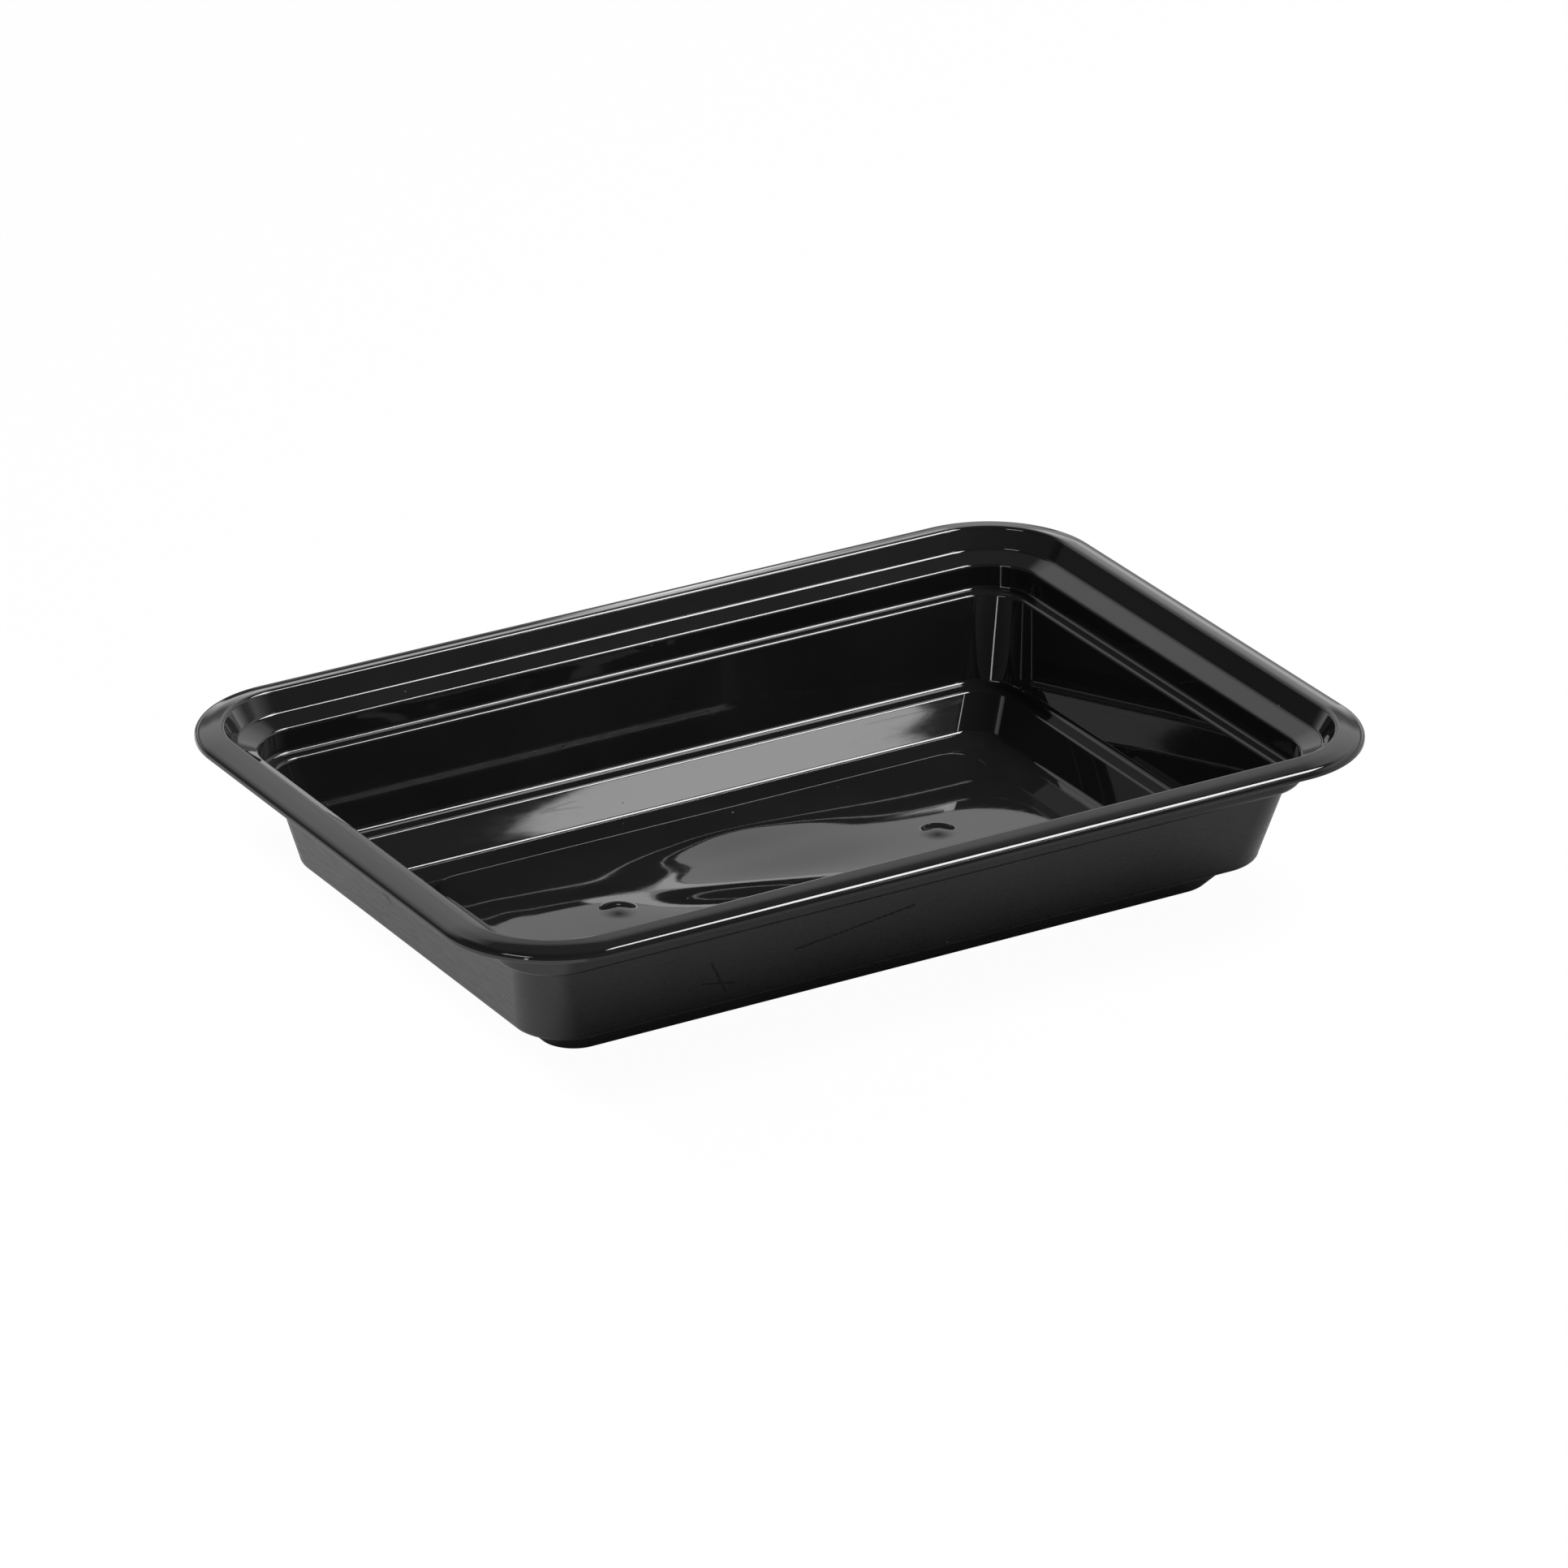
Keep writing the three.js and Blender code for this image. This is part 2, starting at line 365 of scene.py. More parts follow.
@dataclass(frozen=True)
class GateWells:
    """The two low domes in the floor where the plastic was let in, each with its nub underneath."""

    spacing: float = 80.0 * MM
    radius: float = 4.6 * MM
    height: float = 0.55 * MM
    nub_radius: float = 0.9 * MM
    nub_clearance: float = 0.15 * MM
    ring_count: int = 14
    ring_points: int = 40
    ring_reach: float = 1.15

    def centres(self) -> list[Point]:
        """Where the wells stand."""
        return [(-self.spacing / 2, 0.0), (self.spacing / 2, 0.0)]

    def nearest(self, x: np.ndarray, y: np.ndarray) -> np.ndarray:
        """Each point's distance from the nearer well's centre."""
        return np.min([np.hypot(x - cx, y - cy) for cx, cy in self.centres()], axis=0)

    def dome(self, x: np.ndarray, y: np.ndarray) -> np.ndarray:
        """How far each point of the upper face is raised."""
        share = np.clip(self.nearest(x, y) / self.radius, 0, 1)
        return self.height * (0.5 + 0.5 * np.cos(math.pi * share))

    def hollow(self, x: np.ndarray, y: np.ndarray) -> np.ndarray:
        """How far each point of the underside is raised, with the nub left standing.

        Args:
            x: The points' x.
            y: The points' y.

        Returns:
            One rise for each point.
        """
        distance = self.nearest(x, y)
        nub = np.minimum(self.dome(x, y), self.nub_clearance)
        return np.where(distance < self.nub_radius, nub, self.dome(x, y))

    def rings(self, centre: Point) -> list[Point]:
        """The points of the rings that draw one well, in plan.

        Args:
            centre: The well's centre.

        Returns:
            The centre, then every ring's points, with each ring turned half a step from the last.
        """
        points = [centre]
        for ring in range(1, self.ring_count + 1):
            radius = self.ring_reach * self.radius * ring / self.ring_count
            for i in range(self.ring_points):
                angle = 2 * math.pi * (i + 0.5 * (ring % 2)) / self.ring_points
                points.append((centre[0] + radius * math.cos(angle), centre[1] + radius * math.sin(angle)))
        return points


@dataclass(frozen=True)
class Swell:
    """A soft swell in the panel, raised or sunk, where the thin plastic has warped."""

    x: float
    y: float
    reach_x: float
    reach_y: float
    rise: float

    def height(self, x: np.ndarray, y: np.ndarray) -> np.ndarray:
        """How far each point is raised."""
        return self.rise * np.exp(-(((x - self.x) / self.reach_x) ** 2) - ((y - self.y) / self.reach_y) ** 2)


@dataclass(frozen=True)
class FloorRelief:
    """The shape of the raised panel: its gate wells and the warp of the thin plastic."""

    gates: GateWells
    grid_step: float = 1.6 * MM
    corner_reach: float = 3.5 * MM
    calm_margin: float = 9.0 * MM
    swells: tuple[Swell, ...] = (
        Swell(6.05 * MM, -2.0 * MM, 19.85 * MM, 12.2 * MM, -1.07 * MM),
        Swell(-4.2 * MM, 14.0 * MM, 26.2 * MM, 6.95 * MM, -0.43 * MM),
        Swell(-16.6 * MM, 2.85 * MM, 18.7 * MM, 8.9 * MM, -0.75 * MM),
        Swell(-32.4 * MM, 2.2 * MM, 20.7 * MM, 15.2 * MM, 0.54 * MM),
        Swell(3.6 * MM, 24.9 * MM, 10.3 * MM, 6.0 * MM, 0.17 * MM),
    )

    def plan_points(self, edge: np.ndarray) -> list[Point]:
        """The points of the floor inside its edge, in plan.

        Args:
            edge: The loop of the floor's edge.

        Returns:
            A grid that keeps clear of the edge and of the wells, and the rings of the wells.
        """
        half_x = edge[:, 0].max() - self.grid_step / 2
        half_y = edge[:, 1].max() - self.grid_step / 2
        points = []
        for centre in self.gates.centres():
            points += self.gates.rings(centre)
        xs = np.linspace(-half_x, half_x, round(2 * half_x / self.grid_step) + 1)
        ys = np.linspace(-half_y, half_y, round(2 * half_y / self.grid_step) + 1)
        clear = self.gates.ring_reach * self.gates.radius + self.grid_step / 2
        for x in xs:
            for y in ys:
                near_well = self.gates.nearest(np.array([x]), np.array([y]))[0] < clear
                in_corner = abs(x) > half_x - self.corner_reach and abs(y) > half_y - self.corner_reach
                if not near_well and not in_corner:
                    points.append((float(x), float(y)))
        return points

    def heights(self, points: np.ndarray, edge: np.ndarray, side: Side) -> np.ndarray:
        """The height of the floor above its edge at each point.

        Args:
            points: Points in plan.
            edge: The loop of the floor's edge, where the warp dies away.
            side: The upper face or the underside.

        Returns:
            One height for each point.
        """
        x, y = points[:, 0], points[:, 1]
        calm = self._ease(edge[:, 0].max() - np.abs(x)) * self._ease(edge[:, 1].max() - np.abs(y))
        warp = calm * sum(swell.height(x, y) for swell in self.swells)
        return warp + (self.gates.dome(x, y) if side is Side.INSIDE else self.gates.hollow(x, y))

    def _ease(self, distance: np.ndarray) -> np.ndarray:
        """Nought at the edge, easing to one where the calm margin ends."""
        share = np.clip(distance / self.calm_margin, 0, 1)
        return share * share * (3 - 2 * share)


@dataclass
class ContainerBase:
    """The whole moulding as one mesh: the swept wall and the two skins of the floor."""

    section: WallSection
    plan: TrayPlan
    relief: FloorRelief
    name: str = "container"
    flat_weight: int = 80
    join_tolerance: float = 1e-6

    def build(self) -> Object:
        """Makes the container's object, smooth shaded, with its faces sorted by side.

        Returns:
            The object.
        """
        stations = self.section.stations()
        loops = [self.plan.loop(s.inset, s.z, s.plan_radius) for s in stations]
        count = len(loops[0])
        vertices = [np.concatenate(loops)]
        faces, sides, uvs = self._wall_faces(stations, loops)
        total = len(vertices[0])
        for side, row in ((Side.OUTSIDE, 0), (Side.INSIDE, len(loops) - 1)):
            points, triangles = self._floor_skin(loops[row], row * count, total, side)
            vertices.append(points)
            total += len(points)
            faces += triangles
            sides += [side] * len(triangles)
        coordinates = np.concatenate(vertices)
        mesh = bpy.data.meshes.new(self.name)
        mesh.from_pydata(coordinates.tolist(), [], faces)
        mesh.polygons.foreach_set("material_index", [side.value for side in sides])
        self._lay_out(mesh, coordinates, uvs)
        mesh.shade_smooth()
        mesh.validate()
        container = bpy.data.objects.new(self.name, mesh)
        bpy.context.scene.collection.objects.link(container)
        self._shade_evenly(container)
        return container

    def _shade_evenly(self, container: Object) -> None:
        """Lets the large faces lead the shading, so that flat stretches look flat beside the fillets.

        Args:
            container: The container's object.
        """
        even = container.modifiers.new("even_shading", "WEIGHTED_NORMAL")
        even.mode = "FACE_AREA"
        even.keep_sharp = False
        even.weight = self.flat_weight

    def _wall_faces(
        self, stations: list[Station], loops: list[np.ndarray]
    ) -> tuple[list[Face], list[Side], list[list[Point]]]:
        """The quads between neighbouring loops.

        Args:
            stations: The stations of the sweep.
            loops: Their points.

        Returns:
            The faces, the side of each, and the laid-out corners of each, in metres.
        """
        count = len(loops[0])
        rim = max(loops, key=lambda loop: loop[:, 0].max())
        steps = np.linalg.norm(np.roll(rim, -1, axis=0) - rim, axis=1)
        around = np.concatenate(([0.0], np.cumsum(steps)))
        faces, sides, uvs = [], [], []
        along = 0.0
        for row, (here, after) in enumerate(zip(stations, stations[1:])):
            length = math.hypot(after.inset - here.inset, after.z - here.z)
            for i in range(count):
                beside = (i + 1) % count
                base = row * count
                faces.append((base + i, base + beside, base + count + beside, base + count + i))
                sides.append(after.side)
                uvs.append([
                    (around[i], along),
                    (around[i + 1], along),
                    (around[i + 1], along + length),
                    (around[i], along + length),
                ])
            along += length
        return faces, sides, uvs

    def _floor_skin(
        self, edge: np.ndarray, first: int, total: int, side: Side
    ) -> tuple[np.ndarray, list[Face]]:
        """One skin of the floor, joined to the loop at its edge.

        Args:
            edge: The loop at the skin's edge.
            first: The index of that loop's first vertex.
            total: How many vertices there are so far.
            side: The upper face or the underside.

        Returns:
            The new points and the triangles.
        """
        inner = self.relief.plan_points(edge)
        flat = [Vector((float(x) / MM, float(y) / MM)) for x, y in edge[:, :2]]
        flat += [Vector((x / MM, y / MM)) for x, y in inner]
        count = len(edge)
        rim = [(i, (i + 1) % count) for i in range(count)]
        placed, _, triangles, origins, _, _ = delaunay_2d_cdt(flat, rim, [], 1, self.join_tolerance)
        index, fresh = {}, []
        for i, (place, origin) in enumerate(zip(placed, origins)):
            on_edge = [k for k in origin if k < count]
            if on_edge:
                index[i] = first + on_edge[0]
            else:
                index[i] = total + len(fresh)
                fresh.append((place.x * MM, place.y * MM))
        plan = np.array(fresh)
        heights = edge[0, 2] + self.relief.heights(plan, edge, side)
        points = np.column_stack((plan, heights))
        order = 1 if side is Side.INSIDE else -1
        return points, [tuple(index[k] for k in triangle)[::order] for triangle in triangles]

    @staticmethod
    def _lay_out(mesh: Mesh, coordinates: np.ndarray, uvs: list[list[Point]]) -> None:
        """Lays the wall out along its length and depth, and the floor in plan, in metres.

        Args:
            mesh: The container's mesh.
            coordinates: Its vertices.
            uvs: The laid-out corners of the wall's faces, which come first.
        """
        layer = mesh.uv_layers.new(name="layout")
        walls = np.array(uvs, float).reshape(-1, 2)
        loop_vertices = np.empty(len(mesh.loops), int)
        mesh.loops.foreach_get("vertex_index", loop_vertices)
        floor = coordinates[loop_vertices[len(walls):], :2]
        layer.data.foreach_set("uv", np.concatenate((walls, floor)).ravel())


class NodeSheet:
    """Adds nodes to one tree, with their inputs given as values or as other nodes' outputs."""

    def __init__(self, tree: NodeTree) -> None:
        """Takes the tree to add to."""
        self.tree = tree

    def add(self, kind: str, inputs: dict | None = None, **settings: object) -> Node:
        """Adds one node.

        Args:
            kind: The node's type.
            inputs: Socket name or number to a value or an output socket.
            **settings: Attributes of the node.

        Returns:
            The new node.
        """
        node = self.tree.nodes.new(kind)
        for name, value in settings.items():
            setattr(node, name, value)
        for key, value in (inputs or {}).items():
            if isinstance(value, NodeSocket):
                self.tree.links.new(value, node.inputs[key])
            else:
                node.inputs[key].default_value = value
        return node

    def math(self, operation: str, *values: object, clamp: bool = False) -> NodeSocket:
        """The result of a math node on values or sockets."""
        inputs = dict(enumerate(values))
        return self.add("ShaderNodeMath", inputs, operation=operation, use_clamp=clamp).outputs[0]

    def vector(self, operation: str, *values: object, output: str = "Vector") -> NodeSocket:
        """The result of a vector math node on values or sockets."""
        node = self.add("ShaderNodeVectorMath", dict(enumerate(values)), operation=operation)
        return node.outputs[output]

    def place(self, group: NodeTree, inputs: dict) -> Node:
        """Places a shader node group with values of its own."""
        return self.add("ShaderNodeGroup", inputs, node_tree=group)

    def mix(self, factor: object, first: object, second: object) -> NodeSocket:
        """A blend from the first colour to the second."""
        inputs = {"Factor": factor, "A": first, "B": second}
        return self.add("ShaderNodeMix", inputs, data_type="RGBA").outputs["Result"]

    def ramp(
        self, value: object, low: float, high: float, to: Span = (0.0, 1.0), smooth: bool = True
    ) -> NodeSocket:
        """A value carried from one range to another and held at its ends.

        Args:
            value: The socket to read.
            low: Where the range starts.
            high: Where it ends.
            to: What the two ends become.
            smooth: Whether the change eases in and out.

        Returns:
            The output socket.
        """
        kind = "SMOOTHSTEP" if smooth else "LINEAR"
        inputs = {"Value": value, "From Min": low, "From Max": high, "To Min": to[0], "To Max": to[1]}
        return self.add("ShaderNodeMapRange", inputs, interpolation_type=kind).outputs["Result"]


class SocketKind(Enum):
    """What a group's input or output carries."""

    NUMBER = "NodeSocketFloat"
    VECTOR = "NodeSocketVector"


@dataclass(frozen=True)
class GroupSocket:
    """One named input or output of a shader node group."""

    name: str
    kind: SocketKind = SocketKind.NUMBER
    default: float | None = None


def new_group(name: str, inputs: list[GroupSocket], output: str) -> tuple[NodeSheet, Node, NodeSocket]:
    """Makes an empty shader node group that puts out one number.

    Args:
        name: The group's name.
        inputs: Its inputs.
        output: The name of its output.

    Returns:
        A sheet to add the group's nodes with, its input node, and the socket that its result goes to.
    """
    tree = bpy.data.node_groups.new(name, "ShaderNodeTree")
    for sockets, way in ((inputs, "INPUT"), ([GroupSocket(output)], "OUTPUT")):
        for socket in sockets:
            made = tree.interface.new_socket(socket.name, in_out=way, socket_type=socket.kind.value)
            if socket.default is not None:
                made.default_value = socket.default
    sheet = NodeSheet(tree)
    return sheet, sheet.add("NodeGroupInput"), sheet.add("NodeGroupOutput").inputs[output]


@dataclass
class Effects:
    """The shader node groups that the plastic's finishes share, each built once."""

    grain_detail: float = 3.0
    grain_roughness: float = 0.6
    scratch_stretch: float = 0.07
    scratch_waves_per_metre: float = 90.0
    scratch_sway: Place = (2 * MM, 4 * MM, 0.0)
    scratch_patches_per_metre: float = 60.0
    scratch_patch_edge: Span = (0.56, 0.66)
    fray_per_metre: float = 1400.0
    fray_middle: Span = (0.3, 0.7)
    fray_reach: Span = (0.4, 1.3)
    stroke_core: float = 0.5

    def __post_init__(self) -> None:
        """Builds every group."""
        self.grain = self._grain()
        self.specks = self._specks()
        self.scratches = self._scratches()
        self.stroke = self._stroke()

    def _grain(self) -> NodeTree:
        """Fine streaks along one direction of the layout, as left by the mould's tooling.

        Returns:
            The group, whose value swings about a half.
        """
        inputs = [
            GroupSocket("Vector", SocketKind.VECTOR),
            GroupSocket("Per metre", default=900.0),
            GroupSocket("Streak", default=0.1),
        ]
        sheet, given, result = new_group("moulded_grain", inputs, "Value")
        stretch = sheet.add("ShaderNodeCombineXYZ", {"X": given.outputs["Streak"], "Y": 1.0, "Z": 1.0})
        noise = sheet.add(
            "ShaderNodeTexNoise",
            {
                "Vector": sheet.vector("MULTIPLY", given.outputs["Vector"], stretch.outputs[0]),
                "Scale": given.outputs["Per metre"],
                "Detail": self.grain_detail,
                "Roughness": self.grain_roughness,
            },
        )
        sheet.tree.links.new(noise.outputs["Fac"], result)
        return sheet.tree

    def _specks(self) -> NodeTree:
        """Dust: small dots, one in some of the cells that space is divided into.

        Returns:
            The group, whose mask is one on the dots.
        """
        inputs = [
            GroupSocket("Vector", SocketKind.VECTOR),
            GroupSocket("Cells per metre", default=160.0),
            GroupSocket("Share", default=0.3),
            GroupSocket("Size", default=0.045),
        ]
        sheet, given, result = new_group("dust_specks", inputs, "Mask")
        packed = {"Vector": given.outputs["Vector"], "Scale": given.outputs["Cells per metre"]}
        cells = sheet.add("ShaderNodeTexVoronoi", packed)
        parts = sheet.add("ShaderNodeSeparateColor", {"Color": cells.outputs["Color"]})
        size = sheet.math("MULTIPLY", given.outputs["Size"], parts.outputs["Green"])
        dot = sheet.math("LESS_THAN", cells.outputs["Distance"], size)
        chosen = sheet.math("LESS_THAN", parts.outputs["Red"], given.outputs["Share"])
        sheet.tree.links.new(sheet.math("MULTIPLY", dot, chosen), result)
        return sheet.tree

    def _scratches(self) -> NodeTree:
        """Hair scratches: thin broken lines in one direction of the layout.

        Returns:
            The group, whose mask is one along the lines.
        """
        inputs = [
            GroupSocket("Vector", SocketKind.VECTOR),
            GroupSocket("Per metre", default=160.0),
            GroupSocket("Turn", default=0.0),
            GroupSocket("Width", default=0.02),
        ]
        sheet, given, result = new_group("hair_scratches", inputs, "Mask")
        turn = {"Vector": given.outputs["Vector"], "Angle": given.outputs["Turn"]}
        turned = sheet.add("ShaderNodeVectorRotate", turn, rotation_type="Z_AXIS")
        longer = sheet.vector("MULTIPLY", turned.outputs[0], (self.scratch_stretch, 1.0, 1.0))
        wavy = {"Vector": longer, "Scale": self.scratch_waves_per_metre, "Detail": 1.0}
        waves = sheet.add("ShaderNodeTexNoise", wavy)
        bent = sheet.vector("MULTIPLY_ADD", waves.outputs["Color"], self.scratch_sway, longer)
        packed = {"Vector": bent, "Scale": given.outputs["Per metre"]}
        cells = sheet.add("ShaderNodeTexVoronoi", packed, feature="DISTANCE_TO_EDGE")
        line = sheet.math("LESS_THAN", cells.outputs["Distance"], given.outputs["Width"])
        patchy = {"Vector": given.outputs["Vector"], "Scale": self.scratch_patches_per_metre}
        patches = sheet.add("ShaderNodeTexNoise", patchy)
        broken = sheet.ramp(patches.outputs["Fac"], *self.scratch_patch_edge)
        sheet.tree.links.new(sheet.math("MULTIPLY", line, broken), result)
        return sheet.tree

    def _stroke(self) -> NodeTree:
        """One scuffed stroke: how close each point is to a segment in space, with a frayed edge.

        Returns:
            The group, whose mask is one in the stroke's core and fades to its edge.
        """
        inputs = [
            GroupSocket("Vector", SocketKind.VECTOR),
            GroupSocket("Start", SocketKind.VECTOR),
            GroupSocket("End", SocketKind.VECTOR),
            GroupSocket("Width", default=0.4 * MM),
        ]
        sheet, given, result = new_group("scuff_stroke", inputs, "Mask")
        along = sheet.vector("SUBTRACT", given.outputs["End"], given.outputs["Start"])
        away = sheet.vector("SUBTRACT", given.outputs["Vector"], given.outputs["Start"])
        done = sheet.vector("DOT_PRODUCT", away, along, output="Value")
        whole = sheet.vector("DOT_PRODUCT", along, along, output="Value")
        share = sheet.math("DIVIDE", done, whole, clamp=True)
        scaled = sheet.add("ShaderNodeVectorMath", {0: along, "Scale": share}, operation="SCALE")
        gap = sheet.vector("SUBTRACT", away, scaled.outputs["Vector"])
        distance = sheet.vector("LENGTH", gap, output="Value")
        rough = {"Vector": given.outputs["Vector"], "Scale": self.fray_per_metre}
        fray = sheet.add("ShaderNodeTexNoise", rough)
        frayed = sheet.ramp(fray.outputs["Fac"], *self.fray_middle, self.fray_reach)
        near = sheet.math("DIVIDE", distance, sheet.math("MULTIPLY", given.outputs["Width"], frayed))
        sheet.tree.links.new(sheet.ramp(near, self.stroke_core, 1.0, (1.0, 0.0)), result)
        return sheet.tree


@dataclass(frozen=True)
class Scuff:
    """A stroke that was rubbed on to the plastic, from one point to another."""

    start: Place
    end: Place
    width: float


@dataclass(frozen=True)
class Marks:
    """How strongly each effect shows at each point of the surface."""

    grain: NodeSocket
    mottle: NodeSocket
    dust: NodeSocket
    scratched: NodeSocket
    scuffed: NodeSocket | float


@dataclass(frozen=True)
class PlasticFinish:
    """One finish of the black plastic."""

    name: str
    colour: Colour
    worn_colour: Colour
    roughness: float
    roughness_spread: float
    grain_per_metre: float
    grain_streak: float
    grain_height: float
    speck_share: float
    scratch_strength: float
    scuffs: tuple[Scuff, ...] = ()
    ior: float = 1.49
    grain_middle: Span = (0.3, 0.7)
    mottle_per_metre: float = 35.0
    mottle_detail: float = 4.0
    mottle_edge: Span = (0.35, 0.65)
    dust_colour: Colour = (0.16, 0.16, 0.16)
    dust_roughness: float = 0.4
    scratch_roughness: float = 0.25
    scratch_depth: float = 0.004 * MM
    scuff_colour: Colour = (0.0005, 0.0005, 0.0005)
    scuff_roughness: float = 0.45
    scuff_depth: float = 0.12 * MM

    def material(self, effects: Effects) -> Material:
        """Makes the finish as a procedural material.

        Args:
            effects: The shared node groups.

        Returns:
            The material.
        """
        material = bpy.data.materials.new(self.name)
        material.use_nodes = True
        material.node_tree.nodes.clear()
        sheet = NodeSheet(material.node_tree)
        marks = self._marks(sheet, effects)
        bump = sheet.add(
            "ShaderNodeBump", {"Strength": 1.0, "Distance": 1.0, "Height": self._relief(sheet, marks)}
        )
        shader = sheet.add(
            "ShaderNodeBsdfPrincipled",
            {
                "Base Color": self._shade(sheet, marks),
                "Roughness": self._dullness(sheet, marks),
                "IOR": self.ior,
                "Normal": bump.outputs["Normal"],
            },
        )
        output = sheet.add("ShaderNodeOutputMaterial", {"Surface": shader.outputs["BSDF"]})
        output.is_active_output = True
        return material

    def _marks(self, sheet: NodeSheet, effects: Effects) -> Marks:
        """Places the effects with this finish's own values.

        Args:
            sheet: The material's sheet.
            effects: The shared node groups.

        Returns:
            Where each effect shows.
        """
        place = sheet.add("ShaderNodeTexCoord")
        layout, solid = place.outputs["UV"], place.outputs["Object"]
        streaks = {"Vector": layout, "Per metre": self.grain_per_metre, "Streak": self.grain_streak}
        cloud = {"Vector": solid, "Scale": self.mottle_per_metre, "Detail": self.mottle_detail}
        scratches = sheet.place(effects.scratches, {"Vector": layout})
        return Marks(
            grain=sheet.place(effects.grain, streaks).outputs["Value"],
            mottle=sheet.ramp(sheet.add("ShaderNodeTexNoise", cloud).outputs["Fac"], *self.mottle_edge),
            dust=sheet.place(effects.specks, {"Vector": solid, "Share": self.speck_share}).outputs["Mask"],
            scratched=sheet.math("MULTIPLY", scratches.outputs["Mask"], self.scratch_strength),
            scuffed=self._scuffed(sheet, solid, effects),
        )

    def _scuffed(self, sheet: NodeSheet, solid: NodeSocket, effects: Effects) -> NodeSocket | float:
        """Where the scuffs are.

        Args:
            sheet: The material's sheet.
            solid: The object's coordinates.
            effects: The shared node groups.

        Returns:
            A mask socket, or zero if the finish has no scuffs.
        """
        total: NodeSocket | float = 0.0
        for scuff in self.scuffs:
            inputs = {"Vector": solid, "Start": scuff.start, "End": scuff.end, "Width": scuff.width}
            total = sheet.math("MAXIMUM", sheet.place(effects.stroke, inputs).outputs["Mask"], total)
        return total

    def _shade(self, sheet: NodeSheet, marks: Marks) -> NodeSocket:
        """The colour: faintly mottled, pale on the dust and darker in the scuffs.

        Args:
            sheet: The material's sheet.
            marks: Where each effect shows.

        Returns:
            The colour socket.
        """
        fair = sheet.mix(marks.mottle, (*self.colour, 1.0), (*self.worn_colour, 1.0))
        dusted = sheet.mix(marks.dust, fair, (*self.dust_colour, 1.0))
        return sheet.mix(marks.scuffed, dusted, (*self.scuff_colour, 1.0))

    def _dullness(self, sheet: NodeSheet, marks: Marks) -> NodeSocket:
        """The roughness: it swings with the grain and grows on scratches, dust and scuffs.

        Args:
            sheet: The material's sheet.
            marks: Where each effect shows.

        Returns:
            The roughness socket.
        """
        spread = (-self.roughness_spread, self.roughness_spread)
        swing = sheet.ramp(marks.grain, *self.grain_middle, spread, smooth=False)
        rough = sheet.math("ADD", swing, self.roughness)
        rough = sheet.math("MULTIPLY_ADD", marks.scratched, self.scratch_roughness, rough)
        rough = sheet.math("MULTIPLY_ADD", marks.dust, self.dust_roughness, rough)
        return sheet.math("MULTIPLY_ADD", marks.scuffed, self.scuff_roughness, rough, clamp=True)

    def _relief(self, sheet: NodeSheet, marks: Marks) -> NodeSocket:
        """The fine relief in metres: grain above the surface, scratches and scuffs below it.

        Args:
            sheet: The material's sheet.
            marks: Where each effect shows.

        Returns:
            The height socket.
        """
        height = sheet.math("MULTIPLY", marks.grain, self.grain_height)
        height = sheet.math("MULTIPLY_ADD", marks.scratched, -self.scratch_depth, height)
        return sheet.math("MULTIPLY_ADD", marks.scuffed, -self.scuff_depth, height)


@dataclass(frozen=True)
class SoftBox:
    """A rectangular area light that faces the container."""

    name: str
    place: Place
    width: float
    height: float
    radiance: float

    def build(self, aim: Vector) -> Object:
        """Makes the light, turned towards its aim.

        Args:
            aim: The point that it faces.

        Returns:
            The light's object.
        """
        light = bpy.data.lights.new(self.name, "AREA")
        light.shape = "RECTANGLE"
        light.size = self.width
        light.size_y = self.height
        light.energy = math.pi * self.width * self.height * self.radiance
        lamp = bpy.data.objects.new(self.name, light)
        way = Vector(self.place) - aim
        turned = way.to_track_quat("Z", "Y").to_matrix().to_4x4()
        lamp.matrix_world = Matrix.Translation(self.place) @ turned
        bpy.context.scene.collection.objects.link(lamp)
        return lamp


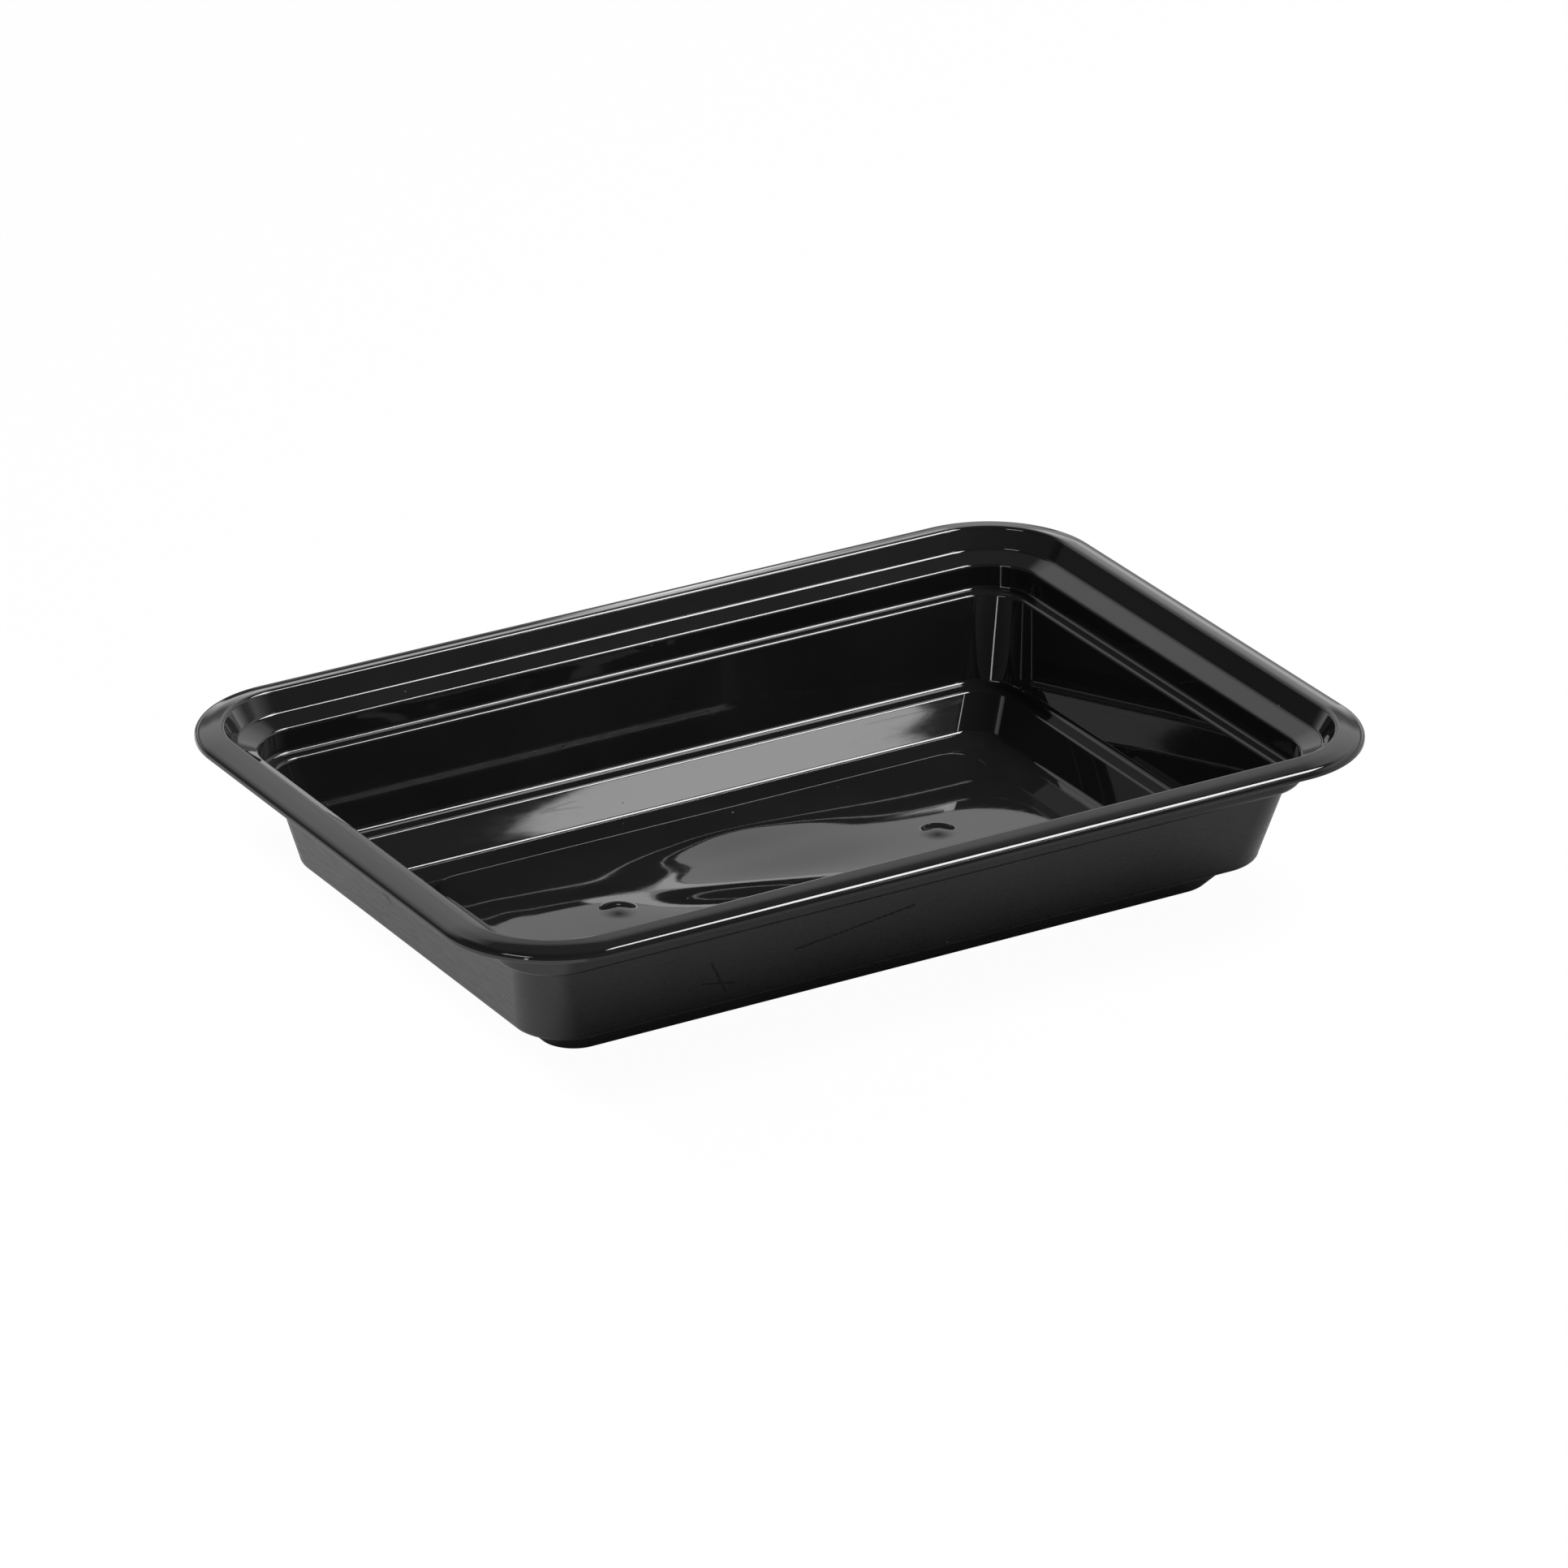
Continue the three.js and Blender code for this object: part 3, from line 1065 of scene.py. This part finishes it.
@dataclass(frozen=True)
class Studio:
    """The pale table, the backdrop, the lights and the camera.

    The backdrop's bands give its brightness at each height in degrees. One side of the room is dimmer than
    the other. Two flags darken the low part of the backdrop, all but a narrow gap between them, and their
    edges are sines: across the view for the sides, in height for the top. The table glows to the left of
    the container's middle, which lights the wall at that end.
    """

    aim: Place = (0.0, 0.0, 20 * MM)
    azimuth: float = math.radians(-30.79)
    elevation: float = math.radians(24.57)
    distance: float = 2183.78 * MM
    pan_right: float = 0.96 * MM
    pan_up: float = 4.08 * MM
    focal_length_px: float = 12524.7
    frame_width_px: float = 1932.0
    sensor: float = 36.0
    nearest: float = 50 * MM
    farthest: float = 50.0
    table_half: float = 6.0
    table_colour: tuple[float, float, float, float] = (0.62, 0.62, 0.62, 1.0)
    table_brightness: float = 1.02
    washed_out: float = 0.95
    side_glow: float = 0.64
    glow_full: float = -97 * MM
    glow_ends: float = -80 * MM
    bands: tuple[tuple[float, float], ...] = (
        (0.0, 2.4), (3.5, 2.3), (9.0, 1.5), (12.0, 1.0), (16.0, 0.3), (19.0, 0.4),
        (22.0, 1.15), (35.0, 1.1), (44.0, 0.7), (48.0, 0.08), (90.0, 0.05),
    )
    brightest: float = 2.5
    bright_way: Place = (0.79, 0.61, 0.0)
    dim_share: float = 0.1
    dim_ends: float = -0.1
    bright_starts: float = 0.45
    across_way: Place = (0.859, -0.512, 0.0)
    left_flag: Span = (-0.0745, -0.0585)
    left_flag_share: float = 0.03
    right_flag: Span = (-0.053, -0.036)
    right_flag_share: float = 0.28
    flag_top: Span = (0.087, 0.139)
    soft_boxes: tuple[SoftBox, ...] = (
        SoftBox("key_strip", place=(0.608, -0.762, 0.83), width=0.152, height=0.062, radiance=7.0),
        SoftBox("top_softbox", place=(0.62, -0.21, 1.09), width=0.55, height=0.34, radiance=20.0),
        SoftBox("left_softbox", place=(-0.76, -0.27, 0.98), width=0.42, height=0.22, radiance=6.5),
        SoftBox("left_strip", place=(-1.02, -0.76, 0.32), width=0.07, height=0.5, radiance=7.0),
    )

    def build(self) -> None:
        """Makes everything that isn't the container."""
        self._table()
        self._backdrop()
        for box in self.soft_boxes:
            box.build(Vector(self.aim))
        self._camera()
        bpy.context.scene.view_settings.view_transform = "Standard"

    def _table(self) -> None:
        """The plain pale floor."""
        half = self.table_half
        corners = [(-half, -half, 0), (half, -half, 0), (half, half, 0), (-half, half, 0)]
        mesh = bpy.data.meshes.new("table")
        mesh.from_pydata(corners, [], [(0, 1, 2, 3)])
        table = bpy.data.objects.new("table", mesh)
        bpy.context.scene.collection.objects.link(table)
        mesh.materials.append(self._table_paint())

    def _table_paint(self) -> Material:
        """Matt white with a painted glow to the left of the container's middle, which the camera sees nearly
        washed out, with only a breath of shadow left.

        Returns:
            The material.
        """
        material = bpy.data.materials.new("pale_table")
        material.use_nodes = True
        material.node_tree.nodes.clear()
        sheet = NodeSheet(material.node_tree)
        place = sheet.add("ShaderNodeTexCoord").outputs["Object"]
        along = sheet.add("ShaderNodeSeparateXYZ", {"Vector": place}).outputs["X"]
        # Painted glow: the table itself emits light left of the container's middle, lighting the wall at
        # that end.
        fill = sheet.ramp(along, self.glow_full, self.glow_ends, (self.side_glow, 0.0))
        lit = sheet.add("ShaderNodeEmission", {"Strength": fill})
        diffuse = sheet.add("ShaderNodeBsdfDiffuse", {"Color": self.table_colour})
        matt_and_side_glow = sheet.add("ShaderNodeAddShader", {0: diffuse.outputs[0], 1: lit.outputs[0]})
        glow = sheet.add("ShaderNodeEmission", {"Strength": self.table_brightness})
        camera_ray = sheet.add("ShaderNodeLightPath").outputs["Is Camera Ray"]
        seen = sheet.math("MULTIPLY", camera_ray, self.washed_out)
        blend = sheet.add("ShaderNodeMixShader", {0: seen, 1: matt_and_side_glow.outputs[0], 2: glow.outputs[0]})
        sheet.add("ShaderNodeOutputMaterial", {"Surface": blend.outputs[0]})
        return material

    def _backdrop(self) -> None:
        """White walls all round, bright near the table, under a dark ceiling."""
        world = bpy.data.worlds.new("studio")
        world.use_nodes = True
        world.node_tree.nodes.clear()
        bpy.context.scene.world = world
        sheet = NodeSheet(world.node_tree)
        way = sheet.add("ShaderNodeTexCoord").outputs["Generated"]
        height = sheet.add("ShaderNodeSeparateXYZ", {"Vector": way}).outputs["Z"]
        strength = sheet.math("MULTIPLY", self._share_left(sheet, way, height), self.brightest)
        inputs = {"Color": self._band_colour(sheet, height), "Strength": strength}
        background = sheet.add("ShaderNodeBackground", inputs)
        sheet.add("ShaderNodeOutputWorld", {"Surface": background.outputs[0]})

    def _band_colour(self, sheet: NodeSheet, height: NodeSocket) -> NodeSocket:
        """The backdrop's grey at each height, against the brightest that it can be.

        Args:
            sheet: The world's sheet.
            height: The sine of the height above the table.

        Returns:
            The colour socket.
        """
        ramp = sheet.add("ShaderNodeValToRGB", {"Fac": height})
        elements = ramp.color_ramp.elements
        while len(elements) > 1:
            elements.remove(elements[-1])
        for i, (degrees, brightness) in enumerate(self.bands):
            position = math.sin(math.radians(degrees))
            element = elements[0] if i == 0 else elements.new(position)
            element.position = position
            grey = brightness / self.brightest
            element.color = (grey, grey, grey, 1.0)
        return ramp.outputs["Color"]

    def _share_left(self, sheet: NodeSheet, way: NodeSocket, height: NodeSocket) -> NodeSocket:
        """How much of the backdrop is left by its dimmer side and by the flags.

        Args:
            sheet: The world's sheet.
            way: The direction that is looked in.
            height: The sine of the height above the table.

        Returns:
            The share, from 0 to 1.
        """
        facing = sheet.vector("DOT_PRODUCT", way, self.bright_way, output="Value")
        turned = sheet.ramp(facing, self.dim_ends, self.bright_starts, (self.dim_share, 1.0))
        across = sheet.vector("DOT_PRODUCT", way, self.across_way, output="Value")
        left = sheet.ramp(across, *self.left_flag, (self.left_flag_share, 1.0))
        right = sheet.ramp(across, *self.right_flag, (1.0, self.right_flag_share))
        over = sheet.ramp(height, *self.flag_top)
        flagged = sheet.math("MAXIMUM", sheet.math("MULTIPLY", left, right), over)
        return sheet.math("MULTIPLY", turned, flagged)

    def _camera(self) -> None:
        """The camera at the photograph's angle."""
        azimuth, level = self.azimuth, math.cos(self.elevation)
        back = Vector((math.sin(azimuth) * level, -math.cos(azimuth) * level, math.sin(self.elevation)))
        right = Vector((math.cos(azimuth), math.sin(azimuth), 0.0))
        up = back.cross(right)
        data = bpy.data.cameras.new("camera")
        data.sensor_width = self.sensor
        data.lens = self.focal_length_px / self.frame_width_px * self.sensor
        data.clip_start = self.nearest
        data.clip_end = self.farthest
        camera = bpy.data.objects.new("camera", data)
        place = Vector(self.aim) + self.pan_right * right + self.pan_up * up + self.distance * back
        turn = Matrix((right, up, back)).transposed().to_4x4()
        camera.matrix_world = Matrix.Translation(place) @ turn
        bpy.context.scene.collection.objects.link(camera)
        bpy.context.scene.camera = camera


GLOSS = PlasticFinish(
    name="black_gloss_inside",
    colour=(0.0115, 0.0115, 0.0118),
    worn_colour=(0.0145, 0.0145, 0.0148),
    roughness=0.03,
    roughness_spread=0.01,
    grain_per_metre=500.0,
    grain_streak=0.3,
    grain_height=0.0004 * MM,
    speck_share=0.5,
    scratch_strength=0.1,
)

SATIN = PlasticFinish(
    name="black_satin_outside",
    colour=(0.0075, 0.0075, 0.0078),
    worn_colour=(0.011, 0.011, 0.0113),
    roughness=0.3,
    roughness_spread=0.06,
    grain_per_metre=1400.0,
    grain_streak=0.12,
    grain_height=0.009 * MM,
    speck_share=0.4,
    scratch_strength=0.5,
    scuffs=(
        Scuff((-51.83 * MM, -59.52 * MM, 18.8 * MM), (-47.53 * MM, -57.82 * MM, 10.67 * MM), 0.4 * MM),
        Scuff((-53.63 * MM, -58.55 * MM, 14.16 * MM), (-45.57 * MM, -58.18 * MM, 12.4 * MM), 0.35 * MM),
        Scuff((-31.36 * MM, -59.15 * MM, 17.01 * MM), (-2.63 * MM, -59.92 * MM, 20.7 * MM), 0.3 * MM),
    ),
)


def main() -> None:
    """Builds the container, dresses it and sets up the studio."""
    logging.basicConfig(level=logging.INFO, format="%(name)s: %(message)s")
    low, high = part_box(NODE)
    section = WallSection(height=high.z - TOP_CLEARANCE)
    plan = TrayPlan(half_length=high.x, half_width=high.y)
    relief = FloorRelief(gates=GateWells())
    container = ContainerBase(section, plan, relief).build()
    effects = Effects()
    for finish in (GLOSS, SATIN):
        container.data.materials.append(finish.material(effects))
    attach(container, BODY)
    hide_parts(NODE)
    LOG.info("%s: %d faces, stands from %.4f to %.4f m", container.name, len(container.data.polygons),
             low.z, high.z)
    Studio().build()
    LOG.info("studio: table, backdrop, lights and camera")


if __name__ == "__main__":
    main()
